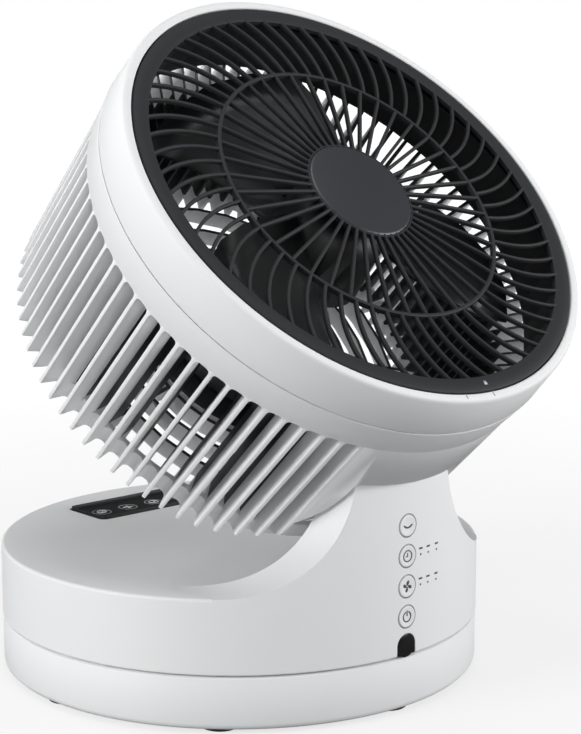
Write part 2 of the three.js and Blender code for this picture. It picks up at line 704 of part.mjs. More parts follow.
function fanMotor() {
  return turnedHead([
    [SHAFT_RADIUS + GAP, 82], [12, 82], [12, 88], [MOTOR_RADIUS, 90],
    [MOTOR_RADIUS, TAIL_DEPTH - 1.8], [SHAFT_RADIUS + GAP, TAIL_DEPTH - 1.8],
  ], 24);
}

function motorShaft() {
  return bar(SHAFT_RADIUS, [0, 0, -9], [0, 0, -TAIL_DEPTH + 4], 12);
}

// A swept blade: sections at rising radii, each a thin cambered strip on its own helix.
function impellerBlade(turn) {
  const sections = [];
  for (const along of [0, 0.25, 0.5, 0.75, 1]) {
    const radius = THREE.MathUtils.lerp(HUB_RADIUS - 2, BLADE_TIP, along);
    const width = THREE.MathUtils.lerp(70, 62, along);
    const lead = turn + 14 * along * along;
    const rise = THREE.MathUtils.lerp(30, 24, along);
    const strip = (share, side) => {
      const angle = rad(lead + (share - 0.5) * width);
      const camber = 4 * Math.sin(Math.PI * share);
      const depth = 34 + (share - 0.5) * rise - camber + side * 0.9;
      return new THREE.Vector3(radius * Math.cos(angle), radius * Math.sin(angle), -depth);
    };
    const shares = [0, 0.25, 0.5, 0.75, 1];
    sections.push([...shares.map((s) => strip(s, -1)), ...shares.toReversed().map((s) => strip(s, 1))]);
  }
  return lofted(sections);
}

function impeller() {
  const hub = turnedHead([
    [SHAFT_RADIUS + GAP, 12.5], [16, 14], [26, 20], [HUB_RADIUS, 54], [HUB_RADIUS - 2.4, 54],
    [23.5, 23], [9, 19], [9, 50], [SHAFT_RADIUS + GAP, 50],
  ], 24);
  const core = turnedHead([[0, 10], [HUB_RADIUS - 1.6, 10], [HUB_RADIUS - 1.6, 60], [0, 60]], 24);
  const blades = [];
  for (let i = 0; i < BLADE_COUNT; i++) blades.push(impellerBlade(90 + i * 360 / BLADE_COUNT));
  return hub.add(joined(blades).subtract(core));
}

function spinnerNut() {
  return turnedHead([
    [SHAFT_RADIUS + GAP, 8.4], [8, 8.4], [9.5, 10], [9.5, 12], [SHAFT_RADIUS + GAP, 12],
  ], 12);
}

// ---- front grille ----------------------------------------------------------

// The opening between two neighbouring outer ribs: each rib leaves the middle ring square to
// it and sweeps more and more as it runs out to the frame.
function outerOpening(turn) {
  const inner = MIDDLE_RING_RADIUS + RING_WIDTH / 2;
  const reach = GRILLE_OPENING - inner;
  const side = (share, way) => [0, share, 1].map((along) => {
    const radius = inner + along * reach;
    const sweep = OUTER_RIB_SWEEP * along ** 1.5;
    const lean = Math.atan(radius * rad(OUTER_RIB_SWEEP) * 1.5 * Math.sqrt(along) / reach);
    const half = rad(180 / OUTER_RIBS) - RIB_WIDTH / 2 / Math.cos(lean) / radius;
    const angle = rad(turn + sweep) + way * half;
    return [radius * Math.cos(angle), radius * Math.sin(angle)];
  });
  return shapeOf([...side(0.55, -1), ...side(0.55, 1).toReversed()]);
}

// The wedge between two neighbouring inner ribs, which run straight out from the hub.
function innerOpening(turn) {
  const corner = (radius, way) => {
    const angle = rad(turn) + way * (rad(180 / INNER_RIBS) - RIB_WIDTH / 2 / radius);
    return [radius * Math.cos(angle), radius * Math.sin(angle)];
  };
  const inner = HUB_DISC_RADIUS + 1;
  const outer = MIDDLE_RING_RADIUS - RING_WIDTH / 2;
  return shapeOf([corner(inner, -1), corner(outer, -1), corner(outer, 1), corner(inner, 1)]);
}

function frontGrille() {
  const plate = shapeOf(circlePoints(GRILLE_RADIUS - 1, OUTER_RIBS));
  for (let i = 0; i < OUTER_RIBS; i++) {
    plate.holes.push(outerOpening(OUTER_RIB_PHASE + (i + 0.5) * 360 / OUTER_RIBS));
  }
  for (let i = 0; i < INNER_RIBS; i++) {
    plate.holes.push(innerOpening(INNER_RIB_PHASE + (i + 0.5) * 360 / INNER_RIBS));
  }
  const edge = turnedHead([
    [GRILLE_RADIUS - 3, FACE_DEPTH], [GRILLE_RADIUS - 0.6, FACE_DEPTH], [GRILLE_RADIUS, 0.9],
    [GRILLE_RADIUS, 6.9], [GRILLE_RADIUS - 2.4, 6.9],
  ], OUTER_RIBS, 90);
  const seat = turnedHead([
    [0, -1], [HUB_DISC_RADIUS + GAP, -1], [HUB_DISC_RADIUS + GAP, 2.2], [0, 2.2],
  ], 36);
  return solidOf(raised(plate, -RIB_BACK, -RIB_FRONT)).add(edge).subtract(seat);
}

function hubPlate() {
  return turnedHead([
    [0, 0.4], [HUB_DISC_RADIUS - 0.8, 0.4], [HUB_DISC_RADIUS, 0.9], [HUB_DISC_RADIUS, 1.9], [0, 1.9],
  ], 36);
}

// ---- assembly --------------------------------------------------------------

place(fan, "foot_shell", footShell(), whitePlastic);
for (let i = 0; i < 8; i++) place(fan, `foot_pad_${i + 1}`, footPad(i * 45), rubber);
place(fan, "power_inlet", powerInlet(), blackPlastic);
place(fan, "sun_gear", sunGear(), nylon);
place(fan, "keeper_ring", keeperRing(), steel);

place(fan, "base_housing", baseHousing(), whitePlastic);
place(fan, "turntable_plate", turntablePlate(), whitePlastic);
place(fan, "swing_motor", swingMotor(), steel);
place(fan, "swing_pinion", swingPinion(), nylon);
place(fan, "main_board", mainBoard(), circuitBoard);
place(fan, "button_board", buttonBoard(), circuitBoard);
place(fan, "receiver_window", receiverWindow(), tintedWindow);
place(fan, "timer_light_guide", lightGuide(buttonHeight(2)), nylon);
place(fan, "speed_light_guide", lightGuide(buttonHeight(1)), nylon);
["power", "speed", "timer", "swing"].forEach((use, row) => {
  place(fan, `${use}_button`, pushButton().translate(0, 0, buttonHeight(row)), whitePlastic);
});
place(fan, "hinge_pin", hingePin(), steel);
place(fan, "friction_washer_left", frictionWasher(-1), nylon);
place(fan, "friction_washer_right", frictionWasher(1), nylon);

place(fan, "remote_shell", remoteShell(), blackPlastic);
place(fan, "remote_keypad", remoteKeypad(), tintedWindow);

place(head, "front_ring", frontRing(), whitePlastic);
place(head, "rear_housing", rearHousing(), whitePlastic);
place(head, "rear_grille", rearGrille(), whitePlastic);
place(head, "air_duct", airDuct(), blackPlastic);
place(head, "motor_cover", motorCover(), whitePlastic);
place(head, "fan_motor", fanMotor(), steel);
place(head, "motor_shaft", motorShaft(), steel);
place(head, "impeller", impeller(), blackPlastic);
place(head, "spinner_nut", spinnerNut(), blackPlastic);
place(head, "front_grille", frontGrille(), darkPlastic);
place(head, "hub_plate", hubPlate(), darkPlastic);

export default fan;
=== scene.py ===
import math

import bpy
from mathutils import Euler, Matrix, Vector


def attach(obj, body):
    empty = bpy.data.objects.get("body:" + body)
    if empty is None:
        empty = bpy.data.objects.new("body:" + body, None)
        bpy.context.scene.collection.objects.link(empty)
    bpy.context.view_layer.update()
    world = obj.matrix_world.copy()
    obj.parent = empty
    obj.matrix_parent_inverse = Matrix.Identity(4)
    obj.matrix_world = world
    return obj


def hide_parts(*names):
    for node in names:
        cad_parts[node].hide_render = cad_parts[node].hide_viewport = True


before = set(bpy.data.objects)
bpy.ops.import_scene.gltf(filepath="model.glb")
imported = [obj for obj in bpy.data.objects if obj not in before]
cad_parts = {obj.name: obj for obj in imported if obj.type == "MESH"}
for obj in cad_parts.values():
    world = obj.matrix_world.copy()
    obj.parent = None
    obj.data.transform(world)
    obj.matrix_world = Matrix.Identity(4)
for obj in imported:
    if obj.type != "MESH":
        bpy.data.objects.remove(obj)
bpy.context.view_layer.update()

# ---------------------------------------------------------------------------
# The foot: a shallow round tray of white moulded ABS that stays still under
# the swinging base. Turned form, one thin parting gap below the base housing.
# ---------------------------------------------------------------------------
MM = 0.001
SWING_AXIS = Vector((0, 0.02648, 0))


def deselect():
    bpy.ops.object.select_all(action="DESELECT")


def pick(piece):
    deselect()
    piece.select_set(True)
    bpy.context.view_layer.objects.active = piece


def settle(piece, place=(0, 0, 0), turn=(0, 0, 0)):
    """Moves and turns a piece, and puts its place into its mesh."""
    pick(piece)
    piece.rotation_euler = turn
    piece.location = place
    bpy.ops.object.transform_apply(location=True, rotation=True, scale=True)
    return piece


def turned(name, rings, steps=192, closed=True):
    """A turned form: one circle, extruded and resized from ring to ring [radius, height]."""
    deselect()
    radius, height = rings[0]
    bpy.ops.mesh.primitive_circle_add(vertices=steps, radius=radius * MM, location=(0, 0, height * MM))
    piece = bpy.context.object
    piece.name = name
    bpy.ops.object.transform_apply(location=True)
    bpy.ops.object.mode_set(mode="EDIT")
    bpy.ops.mesh.select_all(action="SELECT")
    path = rings + rings[:1] if closed else rings
    for (r0, z0), (r1, z1) in zip(path, path[1:]):
        bpy.ops.mesh.extrude_edges_move(TRANSFORM_OT_translate={"value": (0, 0, (z1 - z0) * MM)})
        bpy.ops.transform.resize(value=(r1 / r0, r1 / r0, 1), center_override=(0, 0, z1 * MM))
    bpy.ops.mesh.select_all(action="SELECT")
    bpy.ops.mesh.remove_doubles(threshold=1e-6)
    if not closed:
        bpy.ops.mesh.fill_holes(sides=0)
    bpy.ops.mesh.select_all(action="SELECT")
    bpy.ops.mesh.normals_make_consistent(inside=False)
    bpy.ops.object.mode_set(mode="OBJECT")
    return piece


def rounded(piece, width, segments=3, angle=32):
    """Breaks the sharp edges by a small radius in millimetres."""
    pick(piece)
    bpy.ops.object.modifier_add(type="BEVEL")
    bevel = piece.modifiers[-1]
    bevel.width = width * MM
    bevel.segments = segments
    bevel.limit_method = "ANGLE"
    bevel.angle_limit = math.radians(angle)
    bevel.harden_normals = False
    bpy.ops.object.modifier_apply(modifier=bevel.name)
    return piece


def smooth(piece, angle=35):
    pick(piece)
    bpy.ops.object.shade_smooth_by_angle(angle=math.radians(angle))
    return piece


def linear(code):
    """A colour given as an sRGB hex value, as linear light."""
    parts = [int(code[i:i + 2], 16) / 255 for i in (0, 2, 4)]
    return tuple(c / 12.92 if c <= 0.04045 else ((c + 0.055) / 1.055) ** 2.4 for c in parts) + (1,)


def add_node(tree, kind, settings=None, links=()):
    """One node with its settings, fed by (input name, source node, source output)."""
    node = tree.nodes.new(kind)
    for key, value in (settings or {}).items():
        if key in node.inputs:
            node.inputs[key].default_value = value
        else:
            setattr(node, key, value)
    for socket, source, output in links:
        tree.links.new(source.outputs[output], node.inputs[socket])
    return node


def moulded(name, colour, other, roughness, grain, depth, ior=1.53, coat=0.0):
    """Moulded polymer: a slow drift of tone, a faint drift of gloss, and the tool's fine grain."""
    finish = bpy.data.materials.new(name)
    finish.use_nodes = True
    tree = finish.node_tree
    tree.nodes.clear()
    place = add_node(tree, "ShaderNodeTexCoord")
    drift = add_node(tree, "ShaderNodeTexNoise", {"Scale": 1 / 0.09, "Detail": 2.0, "Roughness": 0.5},
                     [("Vector", place, "Object")])
    tone = add_node(tree, "ShaderNodeMix", {"data_type": "RGBA"}, [(0, drift, "Fac")])
    tone.inputs[6].default_value = linear(colour)
    tone.inputs[7].default_value = linear(other)
    gloss = add_node(tree, "ShaderNodeMapRange", {"To Min": roughness - 0.04, "To Max": roughness + 0.05},
                     [("Value", drift, "Fac")])
    fine = add_node(tree, "ShaderNodeTexNoise", {"Scale": 1 / (grain * MM), "Detail": 3.0, "Roughness": 0.6},
                    [("Vector", place, "Object")])
    bump = add_node(tree, "ShaderNodeBump", {"Strength": 0.6, "Distance": depth * MM},
                    [("Height", fine, "Fac")])
    shader = add_node(tree, "ShaderNodeBsdfPrincipled", {"IOR": ior, "Coat Weight": coat},
                      [("Roughness", gloss, "Result"), ("Normal", bump, "Normal")])
    tree.links.new(tone.outputs[2], shader.inputs["Base Color"])
    add_node(tree, "ShaderNodeOutputMaterial", {}, [("Surface", shader, "BSDF")])
    return finish


def dress(piece, body, finish, nodes=()):
    """Gives a piece its finish, the body that it rides on and the CAD nodes that it stands for."""
    piece.data.materials.clear()
    piece.data.materials.append(finish)
    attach(piece, body)
    if nodes:
        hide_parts(*nodes)


def repaint(nodes, finish):
    """A CAD node whose shape is right keeps its mesh and takes a finish."""
    for node in nodes:
        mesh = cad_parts[node].data
        mesh.materials.clear()
        mesh.materials.append(finish)


# white ABS, tool-polished: even, slightly warm in the light, with a soft broad sheen
white_abs = moulded("white_moulded_abs", "eceded", "e7e8ea", 0.58, 0.9, 0.012, ior=1.48)

foot = turned("foot_tray", [
    (8.5, 1.5), (121.2, 1.5), (123.2, 2.2), (124.4, 3.4), (124.8, 5.0), (124.8, 26.9), (124.5, 27.4),
    (123.8, 27.8), (121.8, 27.9), (121.8, 4.5), (8.5, 4.5),
])
settle(smooth(foot), SWING_AXIS)
dress(foot, "foot", white_abs, ["foot_shell"])

# ---------------------------------------------------------------------------
# Eight soft pads under the foot: dark grey TPE discs, moulded with a rounded
# rim and a shallow ring groove, pressed into seats in the foot's underside.
# ---------------------------------------------------------------------------
pad_rubber = moulded("pad_tpe_rubber", "2e2f31", "262729", 0.78, 0.7, 0.03, ior=1.5)
for number in range(8):
    pad = turned(f"foot_pad_cap_{number + 1}", [
        (3.0, 0.25), (6.4, 0.25), (6.8, 0.0), (8.6, 0.0), (9.2, 0.25), (9.5, 0.7), (9.5, 1.2),
    ], steps=40, closed=False)
    way = math.radians(number * 45)
    at = SWING_AXIS + Vector((112 * math.sin(way), -112 * math.cos(way), 0)) * MM
    settle(smooth(pad, 50), at)
    dress(pad, "foot", pad_rubber, [f"foot_pad_{number + 1}"])

# ---------------------------------------------------------------------------
# Inside the foot: the fixed sun gear and the pinion are moulded in natural
# nylon, the keeper ring is plated steel, and the barrel inlet is black PBT.
# ---------------------------------------------------------------------------
nylon = moulded("natural_nylon", "dedacd", "d2cdbf", 0.5, 1.1, 0.01)
black_plastic = moulded("black_moulded_abs", "1b1c1e", "151618", 0.42, 0.8, 0.015)
repaint(["sun_gear", "swing_pinion"], nylon)
repaint(["power_inlet"], black_plastic)


def plated(name, colour, roughness, along, across):
    """Plated or cast metal with a drawn grain: fine streaks along the axis that is stretched."""
    finish = bpy.data.materials.new(name)
    finish.use_nodes = True
    tree = finish.node_tree
    tree.nodes.clear()
    place = add_node(tree, "ShaderNodeTexCoord")
    fine, coarse = 1 / (across * MM), 1 / (along * MM)
    stretch = add_node(tree, "ShaderNodeMapping", {"Scale": (fine, fine, coarse)},
                       [("Vector", place, "Object")])
    grain = add_node(tree, "ShaderNodeTexNoise", {"Scale": 1.0, "Detail": 2.0},
                     [("Vector", stretch, "Vector")])
    gloss = add_node(tree, "ShaderNodeMapRange", {"To Min": roughness - 0.07, "To Max": roughness + 0.1},
                     [("Value", grain, "Fac")])
    shader = add_node(tree, "ShaderNodeBsdfPrincipled", {"Base Color": linear(colour), "Metallic": 1.0},
                      [("Roughness", gloss, "Result")])
    add_node(tree, "ShaderNodeOutputMaterial", {}, [("Surface", shader, "BSDF")])
    return finish


plated_steel = plated("zinc_plated_steel", "c3c6ca", 0.3, 0.6, 6.0)
repaint(["keeper_ring", "swing_motor", "hinge_pin", "motor_shaft"], plated_steel)

# ---------------------------------------------------------------------------
# The base housing: one white ABS moulding, a flat-topped drum whose rim sweeps
# up in front, between two round scoops, into the curved wall of the pillar.
# ---------------------------------------------------------------------------


def block(low, high):
    """A cube primitive between two corners in millimetres."""
    deselect()
    middle = [(a + b) / 2 * MM for a, b in zip(low, high)]
    size = [(b - a) * MM for a, b in zip(low, high)]
    bpy.ops.mesh.primitive_cube_add(size=1, location=middle, scale=size)
    bpy.ops.object.transform_apply(location=True, scale=True)
    return bpy.context.object


def rod(radius, start, end, steps=96):
    """A cylinder primitive along X, Y or Z between two points in millimetres."""
    deselect()
    start, end = Vector(start), Vector(end)
    turn = (end - start).to_track_quat("Z", "Y").to_euler()
    bpy.ops.mesh.primitive_cylinder_add(
        vertices=steps, radius=radius * MM, depth=(end - start).length * MM,
        location=(start + end) / 2 * MM, rotation=turn)
    bpy.ops.object.transform_apply(location=True, rotation=True)
    return bpy.context.object


def combine(piece, tool, how):
    """A boolean modifier, applied, and its tool removed."""
    pick(piece)
    bpy.ops.object.modifier_add(type="BOOLEAN")
    boolean = piece.modifiers[-1]
    boolean.operation = how
    boolean.solver = "EXACT"
    boolean.object = tool
    bpy.ops.object.modifier_apply(modifier=boolean.name)
    bpy.data.objects.remove(tool)
    return piece


PIVOT_Y, PIVOT_Z = -115.0, 112.9
SCOOP_X, SCOOP_Z, SCOOP_RADIUS = 89.8, 125.2, 59.4
BUTTON_HEIGHTS = [48.1, 63.15, 78.2, 93.25]

housing = turned("base_housing_shell", [
    (0.5, 62.8), (122, 62.8), (122, 28.7), (123.9, 28.7), (124.7, 29.0), (125, 29.6), (125, 64.3),
    (124.7, 65.2), (124.0, 65.7), (123.2, 65.8), (0.5, 65.8),
], steps=240, closed=False)
pillar = turned("pillar_wall", [(105, 63.2), (125, 63.2), (125, 130), (105, 130)], steps=240)
front_part = block((-SCOOP_X, -130, 60), (SCOOP_X, -20, SCOOP_Z))
for side in (-1, 1):
    scoop = rod(SCOOP_RADIUS, (side * SCOOP_X, -140, SCOOP_Z), (side * SCOOP_X, -10, SCOOP_Z), 192)
    combine(front_part, scoop, "DIFFERENCE")
combine(pillar, front_part, "INTERSECT")
top_round = rod(10, (-60, PIVOT_Y, PIVOT_Z), (60, PIVOT_Y, PIVOT_Z), 96)
combine(top_round, block((-90, -126, 60), (90, PIVOT_Y + 10, PIVOT_Z)), "UNION")
slope = block((-90, PIVOT_Y + 9.9, 60), (90, -40, PIVOT_Z))
pick(slope)
bpy.ops.object.mode_set(mode="EDIT")
bpy.ops.mesh.select_all(action="SELECT")
bpy.ops.mesh.bisect(
    plane_co=(0, (PIVOT_Y + 10) * MM, PIVOT_Z * MM), plane_no=Vector((0, 22, 65)).normalized(),
    use_fill=True, clear_outer=True)
bpy.ops.object.mode_set(mode="OBJECT")
combine(top_round, slope, "UNION")
combine(pillar, top_round, "INTERSECT")
combine(housing, pillar, "UNION")

for height in BUTTON_HEIGHTS:
    combine(housing, rod(6.0, (0, -140, height), (0, -118, height), 62), "DIFFERENCE")
combine(housing, rod(6.2, (0, -140, 33.6), (0, -118, 33.6), 62), "DIFFERENCE")
combine(housing, block((-6.2, -140, 20), (6.2, -118, 33.6)), "DIFFERENCE")
recess = block((-39.6, 68.4, 58.3), (39.6, 102.5, 80))
pick(recess)
bpy.ops.object.mode_set(mode="EDIT")
bpy.ops.mesh.select_all(action="DESELECT")
bpy.ops.object.mode_set(mode="OBJECT")
for edge in recess.data.edges:
    a, b = (recess.data.vertices[i].co for i in edge.vertices)
    edge.select = abs(a.z - b.z) > 0.01
bpy.ops.object.mode_set(mode="EDIT")
bpy.ops.mesh.select_mode(type="EDGE")
bpy.ops.mesh.bevel(offset=4 * MM, segments=8, affect="EDGES")
bpy.ops.object.mode_set(mode="OBJECT")
combine(housing, recess, "DIFFERENCE")
combine(housing, block((-42, 66, 55.6), (42, 105, 58.0)), "UNION")
for side in (-1, 1):
    low, high = sorted((side * 11.5, side * 19.3))
    notch = rod(8.4, (low, PIVOT_Y, PIVOT_Z), (high, PIVOT_Y, PIVOT_Z), 48)
    combine(notch, block((low, PIVOT_Y, PIVOT_Z - 8.4), (high, PIVOT_Y + 20, PIVOT_Z + 20)), "UNION")
    combine(notch, block((low, PIVOT_Y - 8.4, PIVOT_Z), (high, PIVOT_Y + 1, PIVOT_Z + 20)), "UNION")
    combine(housing, notch, "DIFFERENCE")
# the booleans leave slivers and two missing triangles, so the mesh is welded and closed
WELD = 0.005 * MM
pick(housing)
bpy.ops.object.mode_set(mode="EDIT")
bpy.ops.mesh.select_all(action="SELECT")
bpy.ops.mesh.remove_doubles(threshold=WELD)
bpy.ops.mesh.dissolve_degenerate(threshold=WELD)
bpy.ops.mesh.select_all(action="SELECT")
bpy.ops.mesh.fill_holes(sides=4)
bpy.ops.mesh.select_all(action="SELECT")
bpy.ops.mesh.normals_make_consistent(inside=False)
bpy.ops.object.mode_set(mode="OBJECT")
smooth(housing, 30)
corners = [corner.vector.copy() for corner in housing.data.corner_normals]
for face in housing.data.polygons:
    if abs(face.normal.z) < 0.02 and math.hypot(face.center.x, face.center.y) > 124.9 * MM:
        for loop in face.loop_indices:
            place = housing.data.vertices[housing.data.loops[loop].vertex_index].co
            corners[loop] = Vector((place.x, place.y, 0)).normalized()
housing.data.normals_split_custom_set(corners)
settle(housing, SWING_AXIS)
dress(housing, "swivel", white_abs, ["base_housing"])

# ---------------------------------------------------------------------------
# Inside the base: the white turntable plate, the geared swing motor, and two
# glass-epoxy boards under green solder mask. They keep the solids' shapes.
# ---------------------------------------------------------------------------
solder_mask = moulded("green_solder_mask", "1f6340", "1a5536", 0.34, 1.5, 0.01, coat=0.2)
repaint(["turntable_plate"], white_abs)
repaint(["main_board", "button_board"], solder_mask)

# ---------------------------------------------------------------------------
# Four round push buttons in a column: white ABS caps with a dished face, each
# in a thin grey ring, and a pad-printed dark sign on the face.
# ---------------------------------------------------------------------------
ring_grey = moulded("grey_moulded_abs", "8f9296", "85888c", 0.45, 0.8, 0.012)
print_ink = moulded("dark_pad_print_ink", "3d3f43", "36383b", 0.55, 0.5, 0.004)


def join_up(name, parts):
    """Joins the parts into one object with one mesh."""
    deselect()
    for part in parts:
        part.select_set(True)
    bpy.context.view_layer.objects.active = parts[0]
    if len(parts) > 1:
        bpy.ops.object.join()
    parts[0].name = name
    return parts[0]


def sign_arc(radius, width, gap_from=None, gap_to=None):
    """A thin printed ring in the x-z plane, facing -y, or only the part of it outside a gap."""
    deselect()
    bpy.ops.mesh.primitive_torus_add(
        major_segments=48, minor_segments=8, major_radius=radius * MM, minor_radius=width / 2 * MM,
        rotation=(math.pi / 2, 0, 0))
    ring = bpy.context.object
    bpy.ops.object.transform_apply(rotation=True)
    if gap_from is not None:
        combine(ring, block(gap_from, gap_to), "DIFFERENCE")
    return ring


def sign_bar(x0, z0, x1, z1, width):
    return rod(width / 2, (x0, 0, z0), (x1, 0, z1), 10)


def power_sign():
    return [sign_arc(2.5, 0.7, (-1.0, -3, 0), (1.0, 3, 4)), sign_bar(0, 0.3, 0, 3.1, 0.65)]


def speed_sign():
    blades = []
    for quarter in range(4):
        deselect()
        bpy.ops.mesh.primitive_uv_sphere_add(segments=16, ring_count=8, radius=1 * MM, scale=(0.9, 0.2, 1.3))
        blade = bpy.context.object
        bpy.ops.object.transform_apply(scale=True)
        way = math.radians(12 + quarter * 90)
        settle(blade, Vector((math.sin(way), 0, math.cos(way))) * 1.85 * MM, (0, way + 0.35, 0))
        blades.append(blade)
    return blades + [sign_arc(0.6, 0.4)]


def timer_sign():
    return [sign_arc(2.7, 0.65), sign_bar(0, -0.2, 0, 1.6, 0.55), sign_bar(0, -0.2, -1.3, -0.2, 0.55)]


def swing_sign():
    return [settle(sign_arc(3.3, 0.85, (-4, -3, -1.9), (4, 3, 4)), (0, 0, 2.3 * MM))]


BUTTON_SIGNS = {"power": power_sign, "speed": speed_sign, "timer": timer_sign, "swing": swing_sign}
for height, (use, sign) in zip(BUTTON_HEIGHTS, BUTTON_SIGNS.items()):
    cap = turned(f"{use}_button_cap", [
        (1.0, -2.5), (1.8, -2.5), (1.8, -0.2), (6.6, -0.2), (6.6, 0.9), (5.5, 0.9), (5.5, 4.2), (5.2, 4.75),
        (4.6, 4.9), (4.0, 4.75), (2.0, 4.65), (0.4, 4.62),
    ], steps=64, closed=False)
    settle(smooth(cap, 40), SWING_AXIS + Vector((0, -120.4, height)) * MM, (math.pi / 2, 0, 0))
    dress(cap, use, white_abs, [f"{use}_button"])
    printed = join_up(f"{use}_button_sign", sign())
    settle(printed, SWING_AXIS + Vector((0, -125.02, height)) * MM)
    pick(smooth(printed, 60))
    dress(printed, use, print_ink)
    collar = turned(f"{use}_button_ring", [
        (5.62, -0.6), (5.98, -0.6), (5.98, 0.02), (5.62, 0.02)], steps=64)
    settle(smooth(collar), SWING_AXIS + Vector((0, -124.9, height)) * MM, (math.pi / 2, 0, 0))
    dress(collar, "swivel", ring_grey)

# ---------------------------------------------------------------------------
# Status lights beside the speed and timer buttons: light guides of milky PC
# behind the thin wall, seen as small grey marks and dots printed on it.
# ---------------------------------------------------------------------------
milky_pc = moulded("milky_polycarbonate", "dcdee0", "d2d5d8", 0.3, 0.9, 0.006)
repaint(["timer_light_guide", "speed_light_guide"], milky_pc)
lights = []
for row in (78.2, 63.15):
    for across in (9.4, 15.1, 21.8):
        turn = (0, 0, math.asin(across / 125))
        spot = Vector((across, -math.sqrt(125.02 ** 2 - across ** 2), 0))
        bar = block((-1.3, -0.04, -0.45), (1.3, 0.3, 0.45))
        dot = rod(0.55, (0, -0.04, 0), (0, 0.3, 0), 16)
        lights.append(settle(bar, (spot + Vector((0, 0, row + 2.2))) * MM, turn))
        lights.append(settle(dot, (spot + Vector((0, 0, row - 0.8))) * MM, turn))
marks = join_up("status_light_marks", lights)
settle(marks, SWING_AXIS)
dress(marks, "swivel", print_ink)

# ---------------------------------------------------------------------------
# The remote receiver's window at the foot of the pillar: an arched pane of
# near-black tinted acrylic, polished, set just behind the housing's skin.
# ---------------------------------------------------------------------------
tinted_acrylic = moulded("tinted_acrylic", "0b0b0e", "08080a", 0.12, 4.0, 0.002, ior=1.49)
pane = rod(5.9, (0, -124.7, 33.6), (0, -122.2, 33.6), 64)
combine(pane, block((-5.9, -124.7, 29.0), (5.9, -122.2, 33.6)), "UNION")
pane.name = "receiver_pane"
rounded(pane, 0.15, 2, 50)
settle(smooth(pane), SWING_AXIS)
dress(pane, "swivel", tinted_acrylic, ["receiver_window"])

# ---------------------------------------------------------------------------
# The tilt hinge: a plated pin through the pillar's solid top, and two nylon
# friction washers that hold the head where it is put.
# ---------------------------------------------------------------------------
repaint(["friction_washer_left", "friction_washer_right"], nylon)

# ---------------------------------------------------------------------------
# The card remote, lying flush in the base top: a black ABS shell under a
# glossy printed keypad sheet of polyester with pale grey signs.
# ---------------------------------------------------------------------------
def card(name, low, high, corner):
    """A flat plate with round corners: a block whose upright edges are bevelled."""
    piece = block(low, high)
    for edge in piece.data.edges:
        a, b = (piece.data.vertices[i].co for i in edge.vertices)
        edge.select = abs(a.z - b.z) > 1e-5
    pick(piece)
    bpy.ops.object.mode_set(mode="EDIT")
    bpy.ops.mesh.select_mode(type="EDGE")
    bpy.ops.mesh.bevel(offset=corner * MM, segments=8, affect="EDGES")
    bpy.ops.object.mode_set(mode="OBJECT")
    piece.name = name
    return piece


keypad_film = moulded("keypad_polyester_film", "0c0d0f", "090a0c", 0.5, 2.0, 0.004, ior=1.45)
pale_print = moulded("pale_print_ink", "c4c8cc", "babec2", 0.5, 0.5, 0.003)
shell = card("remote_body", (-39.2, 68.8, 58.6), (39.2, 102.1, 64.4), 3.6)
rounded(shell, 0.5)
settle(smooth(shell), SWING_AXIS)
dress(shell, "remote", black_plastic, ["remote_shell"])
film = card("remote_film", (-38.4, 69.6, 64.5), (38.4, 101.3, 65.3), 3.0)
settle(smooth(rounded(film, 0.2)), SWING_AXIS)
dress(film, "remote", keypad_film, ["remote_keypad"])
keys = []
for column, sign in zip((-28, -10, 8, 26), BUTTON_SIGNS.values()):
    key = join_up("key", sign())
    keys.append(settle(key, Vector((column, 85.4, 65.3)) * MM, (-math.pi / 2, 0, math.pi)))
    keys.append(settle(turned("key_ring", [(5.0, 0), (5.35, 0), (5.35, 0.06), (5.0, 0.06)], 48),
                       Vector((column, 85.4, 65.3)) * MM))
signs = join_up("remote_signs", keys)
settle(signs, SWING_AXIS)
dress(signs, "remote", pale_print)

# ---------------------------------------------------------------------------
# The head's front ring: a turned band of white ABS with a bright rounded lip
# that stands round the grille, parted from the drum by a hairline seam.
# ---------------------------------------------------------------------------
HEAD_PLACE = Vector((0, -0.0653503, 0.2522013))
HEAD_TURN = (math.radians(46), 0, 0)


def on_head(piece):
    """Head pieces are drawn with the face at z = 0 looking along +z, and y up the face."""
    return settle(piece, HEAD_PLACE, HEAD_TURN)


front = turned("front_ring_band", [
    (120.6, -1.0), (121.0, -0.5), (121.6, -0.3), (123.6, -0.3), (124.4, -0.55), (124.95, -1.05),
    (125.4, -2.2), (126.55, -22.9), (126.4, -23.2), (124.0, -23.2), (124.0, -9.8), (115.6, -9.8),
    (115.6, -7.4), (120.6, -7.4),
], steps=240)
on_head(smooth(front))
dress(front, "head", white_abs, ["front_ring"])
to_head = Euler(HEAD_TURN).to_matrix().transposed()


def paint_shade_black(piece, chosen):
    """The faces that the test picks, by place in mm and normal in the head's frame, go black: painted shade.
    """
    piece.data.materials.append(black_plastic)
    for face in piece.data.polygons:
        spot = to_head @ (face.center - HEAD_PLACE) / MM
        face.material_index = int(chosen(spot, to_head @ face.normal))


# painted shade: the ring's inner wall more than 5 mm deep goes black, so the head's inside stays dark
paint_shade_black(front, lambda spot, normal: spot.z < -5 and math.hypot(spot.x, spot.y) < 121)

# ---------------------------------------------------------------------------
# Two small ticks on the ring's face that show how far the grille turns to
# unlock: pad-printed in mid grey, a few hundredths of a millimetre thick.
# ---------------------------------------------------------------------------
ticks = []
for degrees in (263, 271):
    tick = block((121.4, -0.3, -0.32), (123.4, 0.3, -0.27))
    ticks.append(settle(tick, (0, 0, 0), (0, 0, math.radians(degrees))))
ticks = join_up("ring_ticks", ticks)
on_head(ticks)
dress(ticks, "head", ring_grey)

